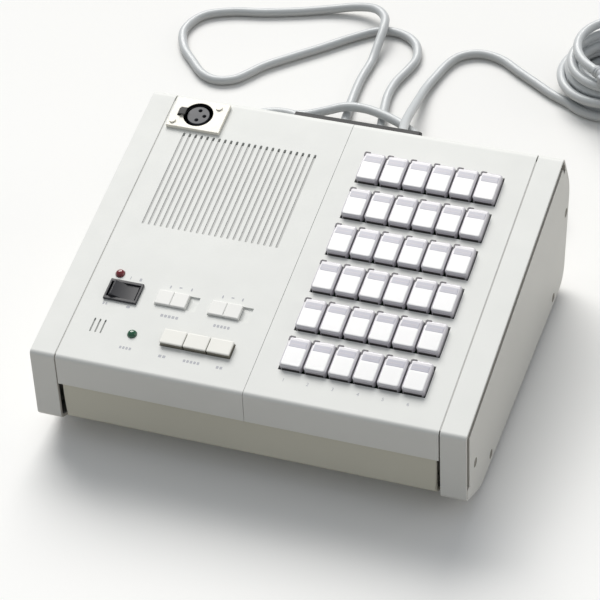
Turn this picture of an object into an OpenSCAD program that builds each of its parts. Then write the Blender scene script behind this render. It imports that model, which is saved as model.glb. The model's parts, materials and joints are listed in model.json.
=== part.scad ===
// Desk intercom, master station: a sloping console with a microphone socket,
// a loudspeaker behind a slotted grille, a row of controls and a field of
// station keys. Millimetres. +X right, +Y to the back, +Z up. The origin is
// on the desk, under the middle of the set.

/* [Body] */
// Width of each of the two top panels
panel_w = 120; // [110:1:140]
// Width of the end cap beside each panel
cap_w = 16; // [14:1:24]
// Length of the sloping top, front edge to rear edge
slope_len = 217; // [210:1:240]
// Slope of the top
slope = 9; // [7:0.5:12]
// Height of the front wall, from the top's front edge down
front_h = 49; // [44:1:54]
// How far the front wall's foot stands out in front of its top
front_out = 4; // [0:0.5:8]
// Depth of the body under the top's front edge
body_h = 65; // [60:1:75]
// Run of the sloping undercut behind the front wall's foot
undercut_run = 28; // [20:1:40]
// How far the rear wall bulges out behind the top's rear edge
rear_bulge = 13.5; // [10:0.5:20]
// How far the rear wall's foot stays in front of the bulge
rear_tuck = 16; // [8:1:22]
// Wall thickness of panels, tray and caps
wall = 2.5; // [2:0.1:3]
// Height of the lip that each panel folds down in front
lip_h = 21; // [16:1:26]
// Height of the lip that each panel folds down behind
rear_lip = 10; // [6:1:12]
// Radius of the panels' folded front edge
edge_r = 3; // [2.6:0.1:4]
// Gap at the seam between the two panels, and between panels and tray
seam = 0.3; // [0.2:0.05:0.6]
// Gap between each panel and its end cap
cap_seam = 0.7; // [0.3:0.1:1]
// How far the tray's walls stand back from the panels' lips
tray_set_back = 2; // [1.5:0.1:2.4]
// Gap between the tray's front wall and each end cap
tray_end_gap = 2.5; // [1:0.5:4]
// Radius of the tray's front corners, seen from above
tray_corner_r = 2.2; // [1:0.1:2.4]
// Height of the body above the desk
clearance_z = 4; // [3:0.5:8]
// Radius of a rubber foot
foot_r = 8; // [5:0.5:10]
// Radius of the posts that carry the panels
post_r = 3.5; // [2.5:0.5:4]
// Distance of the outer posts from the panels' ends
post_inset = 6; // [5:0.5:8]

/* [End plates] */
// Thickness of the plate that closes each end cap
plate_t = 3; // [2:0.5:4]
// Thickness of the end cap's wall behind the plate
web_t = 2; // [1.5:0.5:3]
// Width of the cap's rim around the plate
rim_t = 1.5; // [1:0.25:2]
// Width of the shadow channel along the plate's top and front
channel_w = 4.5; // [3:0.5:6]
// Depth below the top's front edge at which the channel stops
channel_end = 42; // [34:1:44]
// Gap between plate and rim
plate_gap = 0.25; // [0.15:0.05:0.4]
// Radius of a case screw's head
screw_head_r = 2.9; // [2.4:0.1:3.3]
// Radius of a case screw's shank
screw_r = 1.5; // [1:0.1:1.8]
// Clearance round the screws
screw_gap = 0.15; // [0.1:0.05:0.3]

/* [Station keys] */
// Distance between keys along a row
key_pitch = 15; // [14.6:0.1:15.6]
// Distance between rows
row_pitch = 29.5; // [26:0.5:30]
// Width of a key
key_w = 14; // [12:0.1:14.2]
// Depth of a key up the slope
key_d = 22; // [20:0.5:22.5]
// Height of a key above the panel
key_h = 4.3; // [3.6:0.1:6]
// Travel of a key
key_travel = 3; // [2:0.1:3]
// Side of the square stem under a key
stem_w = 5; // [3:0.5:6]
// Distance from the middle seam to the first key
key_x0 = 15.2; // [13:0.1:17]
// Distance from the front edge to the first row
key_s0 = 22.7; // [20:0.1:26]
// Gap between a key and the edge of its opening
key_gap = 0.6; // [0.4:0.1:0.8]
// Gap between a stem and its switch
stem_gap = 0.2; // [0.15:0.05:0.3]

/* [Controls] */
// Width of a talk key
talk_w = 14.5; // [12:0.1:14.6]
// Depth of a talk key
talk_d = 10.5; // [8:0.1:12]
// Height of a talk key above the panel
talk_h = 3.4; // [2.6:0.1:5]
// Distance between talk keys
talk_pitch = 14.9; // [14.8:0.1:15.4]
// Travel of a talk key
talk_travel = 2; // [1:0.1:2.2]
// Width of a level slider's knob
slider_w = 20; // [16:0.5:22]
// Depth of a level slider's knob
slider_d = 10.5; // [8:0.5:12]
// Height of a level slider's knob above the panel
slider_h = 1.8; // [1.2:0.1:3]
// Depth of the recess that a level slider runs in
slider_recess = 1.2; // [1:0.1:1.6]
// Travel of a level slider, over three positions
slider_travel = 6; // [4:0.5:8]
// Length of the power rocker's frame
rocker_l = 21.5; // [21:0.5:24]
// Width of the power rocker's frame
rocker_w = 15.4; // [14.5:0.1:17]
// Radius of the rocker's rounded ends about its pin
rocker_r = 9.2; // [8.6:0.1:9.4]
// Tilt of the rocker either way
rocker_tilt = 12; // [8:1:14]
// Radius of the rocker's pin
rocker_pin_r = 1; // [0.8:0.1:1.2]
// Diameter of an indicator lamp
lamp_d = 6; // [3:0.5:6.5]

/* [Microphone socket] */
// Length of the socket's flange
flange_l = 36; // [32:0.5:38]
// Width of the socket's flange
flange_w = 24.5; // [23:0.5:25]
// Thickness of the flange
flange_t = 2.4; // [1:0.1:2.8]
// Radius of the socket's opening
socket_r = 9.6; // [9:0.1:10]
// Radius of the contact insert
insert_r = 7.2; // [6:0.1:7.6]
// Depth of the socket below the panel
socket_depth = 20; // [16:1:24]
// Travel of the latch
latch_travel = 0.8; // [0.6:0.1:1.6]

/* [Loudspeaker] */
// Outer radius of the loudspeaker
speaker_r = 38.5; // [34:0.5:40]
// Number of slots in the grille
slot_count = 23; // [19:2:23]
// Distance between slots
slot_pitch = 4; // [3.6:0.1:4]
// Width of a slot
slot_w = 1.6; // [1:0.1:1.8]
// Length of a slot
slot_l = 77; // [60:1:77]

/* [Rear] */
// Width of the terminal cover
cover_w = 84; // [78:1:120]
// How far the terminal cover stands out behind the body
cover_out = 5; // [4:0.5:15]
// Length of a cable grommet behind the cover
grommet_l = 6; // [4:0.5:8]
// Radius of a cable grommet
grommet_r = 5.5; // [4.5:0.5:7]
// Distance between cable grommets
grommet_pitch = 24; // [20:1:30]
// Diameter of the cables
cord_d = 6.5; // [5:0.5:7]

/* [Hidden] */
key_rows = 6;
key_cols = 6;
$fn = 48;

// Colours
shell_white = [0.91, 0.92, 0.90];
tray_grey = [0.80, 0.80, 0.73];
key_white = [0.97, 0.97, 0.97];
talk_cream = [0.95, 0.95, 0.89];
socket_cream = [0.94, 0.93, 0.88];
near_black = [0.09, 0.09, 0.09];
contact_grey = [0.42, 0.43, 0.45];
steel = [0.55, 0.56, 0.57];
board_green = [0.15, 0.38, 0.24];
cable_grey = [0.70, 0.72, 0.74];
lamp_red = [0.55, 0.10, 0.12];
lamp_green = [0.45, 0.62, 0.50];

// Side profile of the body: y to the back and z up from the top's front edge,
// with the radius of each corner
top_end = [slope_len * cos(slope), slope_len * sin(slope)];
rear_bulge_z = 2;
body_reach = top_end[0] + rear_bulge;
cover_reach = body_reach + cover_out;
side_profile = [
    [0, 0, edge_r],
    [-front_out, -front_h, 5],
    [undercut_run - front_out, -body_h, 18],
    [body_reach - rear_tuck, -body_h, 14],
    [body_reach, rear_bulge_z, 30],
    [top_end[0], top_end[1], 5]];

function unit(v) = v / norm(v);
function left_of(v) = [-v[1], v[0]];
function cross2(a, b) = a[0] * b[1] - a[1] * b[0];
function xy(p) = [p[0], p[1]];
function meet(p, u, q, w) = p + u * (cross2(q - p, w) / cross2(u, w));
function turned(v, a) = [v[0] * cos(a) - v[1] * sin(a), v[0] * sin(a) + v[1] * cos(a)];

// Corner k of a convex outline, its sides moved inwards by d
function inset_corner(pts, k, d) = let (
    n = len(pts),
    before = xy(pts[(k + n - 1) % n]),
    here = xy(pts[k]),
    after = xy(pts[(k + 1) % n]),
    u = unit(here - before),
    w = unit(after - here),
    hit = meet(here + left_of(u) * d, u, here + left_of(w) * d, w))
    [hit[0], hit[1], max(pts[k][2] - d, 0.4)];

// Corner k as points on an arc of its radius
function corner_arc(pts, k, steps = 8) = let (
    n = len(pts),
    before = xy(pts[(k + n - 1) % n]),
    here = xy(pts[k]),
    after = xy(pts[(k + 1) % n]),
    r = pts[k][2],
    u = unit(here - before),
    w = unit(after - here),
    bend = acos(u * w),
    start = here - u * r * tan(bend / 2),
    centre = start + left_of(u) * r)
    [for (i = [0:steps]) centre - turned(left_of(u), bend * i / steps) * r];

function outline(d) = let (
    pts = [for (k = [0:len(side_profile) - 1]) inset_corner(side_profile, k, d)])
    [for (k = [0:len(pts) - 1]) each corner_arc(pts, k)];

// The set stands with the middle of its depth over the origin
front_reach = min([for (p = outline(0)) p[0]]);
rear_reach = cover_reach + grommet_l;
front_y = -(front_reach + rear_reach) / 2;
edge_z = clearance_z + body_h;

half_w = panel_w + cap_w;
plate_x = half_w - plate_t;
tray_half = panel_w - tray_end_gap;

module body_frame() {
    translate([0, front_y, edge_z]) children();
}

// x along the front, y up the slope from the front edge, z out of the panel
module panel_frame() {
    body_frame() rotate([slope, 0, 0]) children();
}

// A side-view shape, carried along x
module along_x(x0, x1) {
    translate([x0, 0, 0]) rotate([90, 0, 90]) linear_extrude(x1 - x0) children();
}

module side_shape(d) {
    polygon(outline(d));
}

module side_ring(d0, d1) {
    difference() {
        side_shape(d0);
        side_shape(d1);
    }
}

module both_sides() {
    children();
    mirror([1, 0, 0]) children();
}

// The part of the side view that the folded panels take, grown by a gap
module panel_zone(gap) {
    translate([-20, -lip_h - gap]) square([20 + 4 * wall, lip_h + gap + 10]);
    rotate(slope) translate([-5, -3 * wall]) square([slope_len, 20]);
    translate([top_end[0] - 6, top_end[1] - rear_lip - gap]) square([60, rear_lip + gap + 10]);
}

// Base tray: front wall, underside and rear wall, with the posts that carry
// the panels
post_y = [14, slope_len - 43];
post_x = [post_inset - panel_w, 0, panel_w - post_inset];
tray_floor_y = [undercut_run + 6, body_reach - rear_tuck - 24];
wire_hole = [60, 26];

// What the rounded front corners leave of the tray, seen from above
module tray_plan() {
    front = tray_set_back - front_out;
    translate([0, 0, -2 * body_h]) linear_extrude(4 * body_h) {
        translate([-tray_half, front + tray_corner_r]) square([2 * tray_half, 2 * slope_len]);
        translate([tray_corner_r - tray_half, front]) square([2 * (tray_half - tray_corner_r), slope_len]);
        both_sides() translate([tray_half - tray_corner_r, front + tray_corner_r]) circle(r = tray_corner_r);
    }
}

module tray_wall() {
    difference() {
        intersection() {
            along_x(-tray_half, tray_half) difference() {
                side_ring(tray_set_back, tray_set_back + wall);
                panel_zone(seam);
            }
            tray_plan();
        }
        translate([cover_mid_x - wire_hole[0] / 2, body_reach - rear_tuck - wall, gland_z - wire_hole[1] / 2])
            cube([wire_hole[0], rear_tuck + cover_out, wire_hole[1]]);
    }
}

module base_tray() {
    color(tray_grey) body_frame() {
        tray_wall();
        translate([-panel_w, tray_floor_y[0], tray_set_back - body_h])
            cube([2 * panel_w, tray_floor_y[1] - tray_floor_y[0], wall]);
        intersection() {
            for (x = post_x, y = post_y)
                translate([x, y, tray_set_back - body_h]) cylinder(r = post_r, h = 2 * body_h);
            along_x(-panel_w, panel_w) side_shape(wall);
        }
    }
}

// A panel blank, folded down in front and behind
module panel_blank(x0, x1) {
    body_frame() along_x(x0, x1) intersection() {
        side_ring(0, wall);
        panel_zone(0);
    }
}

module panel_cut(x, s, w, d) {
    translate([x, s, -3 * wall]) cube([w, d, 6 * wall]);
}

module slot_cut(x, s, w, d) {
    translate([x, s, -3 * wall]) linear_extrude(6 * wall) {
        translate([-w / 2, w / 2]) square([w, d - w]);
        translate([0, w / 2]) circle(d = w);
        translate([0, d - w / 2]) circle(d = w);
    }
}

// Places on the left panel, from its left end and the top's front edge
flange_at = [2.5 - panel_w, slope_len - flange_w - 4.5];
grille_x = 60.1 - panel_w;
grille_s = slope_len - 31 - slot_l;
mic_slots = [for (k = [0:2]) 14.4 + 3.4 * k - panel_w];
mic_slot_s = 22.7;
mic_slot_l = 10.5;
mic_slot_w = 1.1;
lamp_spots = [[16.9 - panel_w, 68.5], [40.6 - panel_w, 26.5]];
lamp_gap = 0.1;
rocker_at = [24.2 - panel_w, 55.4];
rocker_body = [rocker_l - 1.1, rocker_w - 2.4];
rocker_gap = 0.2;
rocker_open = [2 * (rocker_r + rocker_gap), rocker_body[1] - 1.6];
rocker_depth = 13.6;
rocker_floor = 1.5;
rocker_frame_h = 1.6;
rocker_pin_n = -2.5;
rocker_pin_gap = 0.05;
slider_at = [[45.6 - panel_w, 51], [79.9 - panel_w, 50.7]];
slider_gap = 0.2;
talk_at = [59.9 - panel_w, 22.6];
talk_gap = 0.3;
socket_at = flange_at + [flange_l, flange_w] / 2;
latch_size = [1.8, 5.4];
latch_at = socket_at - [socket_r + 2.8, 0];
latch_gap = 0.2;
speaker_at = [grille_x, grille_s + slot_l / 2];
flange_screws = [flange_at + [29.5, 20.3], flange_at + [3.2, 4.4]];
flange_screw_r = 1.2;

// A slider's recess, with a slot in its floor for the neck
module slider_window(p) {
    neck_at = p + ([slider_w, slider_d] - slider_neck) / 2;
    translate([p[0] - slider_gap, p[1] - slider_gap, -slider_recess])
        cube([slider_w + slider_travel + 2 * slider_gap, slider_d + 2 * slider_gap, 2 * wall]);
    panel_cut(neck_at[0] - slider_gap, neck_at[1] - slider_gap,
        slider_neck[0] + slider_travel + 2 * slider_gap, slider_neck[1] + 2 * slider_gap);
}

module latch_window() {
    panel_cut(latch_at[0] - latch_size[0] / 2 - latch_gap, latch_at[1] - latch_size[1] / 2 - latch_gap,
        latch_size[0] + 2 * latch_gap, latch_size[1] + 2 * latch_gap);
}

module flange_screw_holes() {
    for (p = flange_screws)
        translate([p[0], p[1], -3 * wall]) cylinder(r = flange_screw_r + screw_gap, h = 6 * wall);
}

module top_panel_left() {
    color(shell_white) difference() {
        panel_blank(cap_seam - panel_w, -seam / 2);
        panel_frame() {
            for (i = [0:slot_count - 1])
                slot_cut(grille_x + (i - (slot_count - 1) / 2) * slot_pitch, grille_s, slot_w, slot_l);
            for (x = mic_slots) slot_cut(x, mic_slot_s, mic_slot_w, mic_slot_l);
            for (p = lamp_spots)
                translate([p[0], p[1], -3 * wall]) cylinder(r = lamp_d / 2 + lamp_gap, h = 6 * wall);
            panel_cut(rocker_at[0] - (rocker_body[0] + seam) / 2, rocker_at[1] - (rocker_body[1] + seam) / 2,
                rocker_body[0] + seam, rocker_body[1] + seam);
            for (p = slider_at) slider_window(p);
            panel_cut(talk_at[0] - talk_gap, talk_at[1] - talk_gap,
                2 * talk_pitch + talk_w + 2 * talk_gap, talk_d + 2 * talk_gap);
            translate([socket_at[0], socket_at[1], -3 * wall])
                cylinder(r = socket_r + socket_wall + seam, h = 6 * wall);
            latch_window();
            flange_screw_holes();
        }
    }
}

module top_panel_right() {
    color(shell_white) difference() {
        panel_blank(seam / 2, panel_w - cap_seam);
        panel_frame() for (j = [0:key_rows - 1])
            panel_cut(key_x0 - key_gap, key_s0 + j * row_pitch - key_gap,
                (key_cols - 1) * key_pitch + key_w + 2 * key_gap, key_d + 2 * key_gap);
    }
}

// End cap: a hollow moulding whose rim frames the side plate
module end_cap() {
    color(shell_white) body_frame() difference() {
        union() {
            along_x(panel_w, plate_x) side_ring(0, wall);
            along_x(plate_x - web_t, plate_x) difference() {
                side_shape(wall / 2);
                intersection() {
                    channel_shape();
                    side_shape(wall);
                }
            }
            along_x(plate_x - web_t, half_w) side_ring(0, rim_t);
        }
        case_screw_holes(screw_r + screw_gap);
    }
}

// Side plate, with the shadow channel left open along its top and front
channel_in = rim_t + channel_w;
screw_spots = [
    [front_reach + 19, -front_h + 14.3],
    [undercut_run - front_out + 22, -body_h + 6],
    [body_reach - 10, -14],
    [body_reach - rear_tuck - 25, -body_h + 6]];

module channel_shape() {
    difference() {
        intersection() {
            side_shape(0);
            union() {
                translate([-20, -channel_end]) square([20 + channel_in, channel_end + 10]);
                rotate(slope) translate([-5, -2 * channel_in]) square([slope_len + 5, 4 * channel_in]);
            }
        }
        side_shape(channel_in);
    }
}

module case_screw_holes(r) {
    for (p = screw_spots)
        translate([panel_w, p[0], p[1]]) rotate([0, 90, 0]) cylinder(r = r, h = cap_w + 1);
}

module side_plate() {
    difference() {
        along_x(plate_x, half_w) difference() {
            side_shape(rim_t + plate_gap);
            channel_shape();
        }
        case_screw_holes(screw_r + screw_gap);
        translate([plate_t - screw_head_t, 0, 0]) for (p = screw_spots)
            translate([plate_x, p[0], p[1]]) rotate([0, 90, 0])
                cylinder(r = screw_head_r + screw_gap, h = plate_t);
    }
}

module side_plates() {
    color(shell_white) body_frame() both_sides() side_plate();
}

// Screws: those of the side plates lie sunk in them, two hold the socket
screw_head_t = 1.4;
screw_sink = 0.3;
screw_l = 6;
flange_screw_head = [2.1, 0.9];
flange_screw_l = 7;

module screw(head_r, head_t, shank_r, shank_l) {
    cylinder(r = head_r, h = head_t);
    translate([0, 0, -shank_l]) cylinder(r = shank_r, h = shank_l);
}

module case_screws() {
    color(steel) {
        body_frame() both_sides() for (p = screw_spots)
            translate([half_w - screw_head_t, p[0], p[1]]) rotate([0, 90, 0])
                screw(screw_head_r, screw_head_t - screw_sink, screw_r, screw_l);
        panel_frame() for (p = flange_screws)
            translate([p[0], p[1], flange_t])
                screw(flange_screw_head[0], flange_screw_head[1], flange_screw_r, flange_screw_l);
    }
}

foot_x = panel_w - 24;
foot_y = [undercut_run + 22, body_reach - rear_tuck - 26];

module rubber_feet() {
    color(near_black) translate([0, front_y, 0]) both_sides() for (y = foot_y)
        translate([foot_x, y, 0]) cylinder(r = foot_r, h = clearance_z + tray_set_back);
}

// Loudspeaker: frame, cone and magnet, behind a dust screen
screen_t = 0.5;
screen_edge = 2;
screen_bed = 0.2;
speaker_ring_t = 3;
speaker_ring_w = 4;
cone_depth = 12;
cone_foot_r = 13;
cone_wall = 1;
magnet_r = 22.5;
magnet_t = 12;

module dust_screen() {
    half = [(slot_count - 1) / 2 * slot_pitch + slot_w / 2 + screen_edge, slot_l / 2 + screen_edge];
    color(contact_grey) panel_frame()
        translate([speaker_at[0] - half[0], speaker_at[1] - half[1], -wall - screen_t])
            cube([2 * half[0], 2 * half[1], screen_t]);
}

module speaker() {
    dust_screen();
    color(near_black) panel_frame() translate([speaker_at[0], speaker_at[1], screen_bed - wall - screen_t]) {
        translate([0, 0, -speaker_ring_t]) difference() {
            cylinder(r = speaker_r, h = speaker_ring_t);
            translate([0, 0, -1]) cylinder(r = speaker_r - speaker_ring_w, h = speaker_ring_t + 2);
        }
        translate([0, 0, -speaker_ring_t - cone_depth]) difference() {
            cylinder(r1 = cone_foot_r, r2 = speaker_r - cone_wall, h = cone_depth);
            translate([0, 0, cone_wall])
                cylinder(r1 = cone_foot_r, r2 = speaker_r - 2 * cone_wall, h = cone_depth);
        }
        translate([0, 0, -speaker_ring_t - cone_depth - magnet_t]) cylinder(r = magnet_r, h = magnet_t);
    }
}

// Microphone socket: flange, shell and the insert with its three contacts
socket_wall = 1.2;
socket_floor = 2;
socket_seat = 0.1;
insert_drop = 0.6;
insert_h = socket_depth - socket_floor - socket_seat + flange_t - insert_drop;
contact_r = 1.2;
contact_ring = 4;
contact_depth = 12;

module mic_socket() {
    panel_frame() {
        color(socket_cream) difference() {
            translate([flange_at[0], flange_at[1], 0]) cube([flange_l, flange_w, flange_t]);
            translate([socket_at[0], socket_at[1], -flange_t]) cylinder(r = socket_r, h = 3 * flange_t);
            latch_window();
            flange_screw_holes();
        }
        color(near_black) translate([socket_at[0], socket_at[1], -socket_depth]) difference() {
            cylinder(r = socket_r + socket_wall, h = socket_depth - socket_seat);
            translate([0, 0, socket_floor]) cylinder(r = socket_r, h = socket_depth);
        }
        color(contact_grey)
            translate([socket_at[0], socket_at[1], socket_floor + socket_seat - socket_depth]) difference() {
                cylinder(r = insert_r, h = insert_h);
                for (a = [0, 90, 270]) rotate(a)
                    translate([contact_ring, 0, insert_h - contact_depth])
                        cylinder(r = contact_r, h = insert_h);
            }
    }
}

// The latch's head reaches over the edge of the opening, and still clears the
// flange when the latch is pressed
latch_n = 6;
latch_head = [4.4, 6, 0.9];
latch_step = 1;
latch_rise = latch_travel + 0.2;

module mic_latch() {
    color(near_black) panel_frame() translate([latch_at[0] - latch_size[0] / 2, latch_at[1], 0]) {
        translate([0, -latch_size[1] / 2, -latch_n])
            cube([latch_size[0], latch_size[1], latch_n + flange_t + latch_rise]);
        translate([latch_step, -latch_head[1] / 2, flange_t + latch_rise]) cube(latch_head);
    }
}

// A lamp stands on its holder and ends in a dome above the panel
lamp_holder_h = 9;
lamp_rise = 0.3;

module indicator_lamp(p, tone) {
    color(tone) panel_frame() translate([p[0], p[1], lamp_rise]) {
        translate([0, 0, lamp_holder_h - board_n - lamp_rise])
            cylinder(r = lamp_d / 2, h = board_n - lamp_holder_h + lamp_rise);
        intersection() {
            sphere(r = lamp_d / 2);
            cylinder(r = lamp_d, h = lamp_d);
        }
    }
}

module indicator_lamps() {
    indicator_lamp(lamp_spots[0], lamp_red);
    indicator_lamp(lamp_spots[1], lamp_green);
}

// Power rocker in its frame
module rocker_frame() {
    color(near_black) panel_frame() translate([rocker_at[0], rocker_at[1], 0]) difference() {
        union() {
            translate([-rocker_l / 2, -rocker_w / 2, 0]) cube([rocker_l, rocker_w, rocker_frame_h]);
            translate([-rocker_body[0] / 2, -rocker_body[1] / 2, -rocker_depth])
                cube([rocker_body[0], rocker_body[1], rocker_depth + 0.5]);
        }
        translate([-rocker_open[0] / 2, -rocker_open[1] / 2, rocker_floor - rocker_depth])
            cube([rocker_open[0], rocker_open[1], rocker_depth + rocker_frame_h]);
        translate([0, rocker_w / 2, rocker_pin_n]) rotate([90, 0, 0])
            cylinder(r = rocker_pin_r + rocker_pin_gap, h = rocker_w);
    }
}

// The rocker's face is two flats that meet over its pin
rocker_face = 3.2;
rocker_keel = 4;
rocker_face_end = rocker_face + rocker_r * tan(rocker_tilt);

module power_rocker() {
    color(near_black) panel_frame() translate([rocker_at[0], rocker_at[1], rocker_pin_n]) {
        rotate([90, 0, 0]) cylinder(r = rocker_pin_r, h = rocker_body[1] - 2 * rocker_gap, center = true);
        rotate([0, rocker_tilt, 0]) rotate([90, 0, 0])
            linear_extrude(rocker_open[1] - 2 * rocker_gap, center = true) intersection() {
                circle(r = rocker_r);
                polygon([
                    [-rocker_r, -rocker_keel], [rocker_r, -rocker_keel], [rocker_r, rocker_face_end],
                    [0, rocker_face], [-rocker_r, rocker_face_end]]);
            }
    }
}

// A level slider: its knob in the window, and a neck down into the switch
slider_sink = slider_recess - slider_gap;
slider_neck = [6, 4];
slider_switch_n = wall + 0.4;
slider_neck_n = 7;

module level_slider(k) {
    color(key_white) panel_frame() translate([slider_at[k][0], slider_at[k][1], 0]) {
        translate([0, 0, -slider_sink]) cube([slider_w, slider_d, slider_sink + slider_h]);
        translate([(slider_w - slider_neck[0]) / 2, (slider_d - slider_neck[1]) / 2, -slider_neck_n])
            cube([slider_neck[0], slider_neck[1], slider_neck_n - slider_sink + 0.1]);
    }
}

// A key: its cap and the square stem that works the switch
key_sink = 1.5;
stem_n = 10;
cap_edge = 0.7;

module plain_key(w, d, h) {
    translate([w, 0, 0]) rotate([0, -90, 0]) linear_extrude(w)
        polygon([[-key_sink, 0], [h - cap_edge, 0], [h, cap_edge], [h, d - cap_edge],
            [h - cap_edge, d], [-key_sink, d]]);
    translate([(w - stem_w) / 2, (d - stem_w) / 2, -stem_n]) cube([stem_w, stem_w, stem_n - key_sink]);
}

module station_key(i, j) {
    color(key_white) panel_frame() translate([key_x0 + i * key_pitch, key_s0 + j * row_pitch, 0])
        plain_key(key_w, key_d, key_h);
}

module talk_key(i) {
    color(talk_cream) panel_frame() translate([talk_at[0] + i * talk_pitch, talk_at[1], 0])
        plain_key(talk_w, talk_d, talk_h);
}

// Circuit boards with the switches, spacers, lamp holders and microphone
// capsule on them
board_n = 14.4;
board_t = 1.6;
board_in = post_inset + post_r + 0.5;
board_s = 16;
board_edge = 6;
switch_top = 6.6;
switch_w = 11;
switch_floor = 0.6;
slide_switch_edge = 1;
slide_switch_floor = 4;
spacer_r = 2;
capsule_r = 4.8;
key_field_end = [
    key_x0 + (key_cols - 1) * key_pitch + key_w,
    key_s0 + (key_rows - 1) * row_pitch + key_d];
spacer_in = key_gap + spacer_r + 0.5;
row_gap = row_pitch - key_d;

module key_switch(x, s) {
    translate([x - switch_w / 2, s - switch_w / 2, -board_n]) difference() {
        cube([switch_w, switch_w, board_n - switch_top]);
        translate([(switch_w - stem_w) / 2 - stem_gap, (switch_w - stem_w) / 2 - stem_gap, switch_floor])
            cube([stem_w + 2 * stem_gap, stem_w + 2 * stem_gap, board_n]);
    }
}

module slide_switch(x, s) {
    body = [slider_w + slider_travel + 2 * slide_switch_edge, slider_d - slide_switch_edge];
    slot = [slider_neck[0] + slider_travel + 2 * slider_gap, slider_neck[1] + 2 * slider_gap];
    translate([x - slide_switch_edge, s + (slider_d - body[1]) / 2, -board_n]) difference() {
        cube([body[0], body[1], board_n - slider_switch_n]);
        translate([slide_switch_edge + (slider_w - slider_neck[0]) / 2 - slider_gap,
            (body[1] - slot[1]) / 2, slide_switch_floor]) cube([slot[0], slot[1], board_n]);
    }
}

module spacer(x, s) {
    translate([x, s, -board_n]) cylinder(r = spacer_r, h = board_n - wall);
}

module board(x0, s0, x1, s1) {
    translate([x0, s0, -board_n - board_t]) cube([x1 - x0, s1 - s0, board_t]);
}

module circuit_boards() {
    color(board_green) panel_frame() {
        board(board_in, board_s, panel_w - board_in, key_field_end[1] + board_edge);
        board(board_in - panel_w, board_s, -board_in, lamp_spots[0][1] + lamp_d + board_edge);
        for (x = [key_x0 - spacer_in, key_field_end[0] + spacer_in],
            s = [key_s0 + key_d + row_gap / 2, key_field_end[1] - key_d - row_gap / 2]) spacer(x, s);
        for (x = [board_in + spacer_in - panel_w, -board_in - spacer_in], s = [41, 75]) spacer(x, s);
    }
    color(near_black) panel_frame() {
        for (i = [0:key_cols - 1], j = [0:key_rows - 1])
            key_switch(key_x0 + i * key_pitch + key_w / 2, key_s0 + j * row_pitch + key_d / 2);
        for (i = [0:2])
            key_switch(talk_at[0] + i * talk_pitch + talk_w / 2, talk_at[1] + talk_d / 2);
        for (p = slider_at) slide_switch(p[0], p[1]);
        translate([mic_slots[1], mic_slot_s + mic_slot_l / 2, -board_n])
            cylinder(r = capsule_r, h = board_n - wall - seam);
        for (p = lamp_spots)
            translate([p[0], p[1], -board_n]) cylinder(r = lamp_d / 2, h = lamp_holder_h);
    }
}

// Terminal cover on the rear wall, with a grommet for each cable
cover_mid_x = -4;
cover_low = -45;
cover_high = 22;
cover_wall = 2;
gland_z = -29;
gland_mid_x = 6;
cover_edge = 3;

function cover_outline(d) = [
    [body_reach - 30, cover_low + d], [cover_reach - d - cover_edge, cover_low + d],
    [cover_reach - d, cover_low + d + cover_edge], [cover_reach - d, cover_high - d - cover_edge],
    [cover_reach - d - cover_edge, cover_high - d], [body_reach - 30, cover_high - d]];

module terminal_cover() {
    color(near_black) body_frame() {
        difference() {
            along_x(cover_mid_x - cover_w / 2, cover_mid_x + cover_w / 2) polygon(cover_outline(0));
            along_x(cover_mid_x - cover_w / 2 + cover_wall, cover_mid_x + cover_w / 2 - cover_wall)
                polygon(cover_outline(cover_wall));
            along_x(-panel_w, panel_w) side_shape(tray_set_back);
        }
        for (k = [-1:1])
            translate([gland_mid_x + k * grommet_pitch, cover_reach - cover_wall, gland_z])
                rotate([-90, 0, 0]) cylinder(r = grommet_r, h = cover_wall + grommet_l);
    }
}

// Cables. The routes are points on the cable's middle line, from the grommet
// over the desk to the coil that holds the rest of the cable.
cord_r = cord_d / 2;
gland_at = [gland_mid_x, front_y + rear_reach, edge_z + gland_z];
flat = cord_r;
routes = [
    [[6, 150, 37], [4, 167, 32], [0, 185, 25], [-4, 203, 18.5], [-6, 221, 13], [-7, 240, 8],
        [-7, 259, 4.5], [-4, 277, flat], [-1, 289, flat], [4, 299, flat], [13, 305.5, flat],
        [24, 307, flat], [37, 303, flat], [51, 293.5, flat], [65, 284.5, flat], [79, 275.5, flat]],
    [[29, 150, 36], [25, 167, 26], [15, 186, 15.5], [3, 201, 10.8], [-10, 210, 10.4], [-24, 216, 10.4],
        [-38, 219.5, 10.4], [-52, 218.5, 10.4], [-65, 214.5, 7.6], [-78, 211, 4.3], [-91, 208, flat],
        [-104, 202, flat], [-115, 191, flat], [-121, 175, flat]],
    [[-18, 150, 36], [-19, 166, 26], [-21, 183, 13.5], [-23, 201, 5], [-26, 217, flat], [-29, 232, flat],
        [-31, 247, flat], [-30, 262, flat], [-26, 277, flat], [-24, 290, flat], [-28, 304, flat],
        [-37, 313, flat], [-50, 316.5, flat], [-63, 313, flat], [-78, 301, flat], [-95, 285, flat],
        [-112, 270, flat], [-127, 256, flat], [-135, 245, flat], [-143, 236, flat], [-155, 232.5, flat],
        [-167, 237, flat], [-179, 249, flat], [-191, 263, flat], [-198, 282, flat], [-191, 301, flat],
        [-172, 311, flat], [-148, 316, flat], [-124, 323, flat], [-102, 330.5, 4], [-83, 334.5, 6.5],
        [-68, 332, 9.4], [-58, 323, 10.4], [-54.5, 310, 10.4], [-54, 295, 7], [-54, 279, flat],
        [-55, 258, flat], [-54, 238, flat], [-52, 219, flat], [-49, 200, flat], [-42, 181, flat],
        [-29, 164, flat], [-11, 149, flat], [9, 137, flat], [29, 126, flat], [44, 117, flat]]];
grommet_of = [0, 1, -1];

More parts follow.
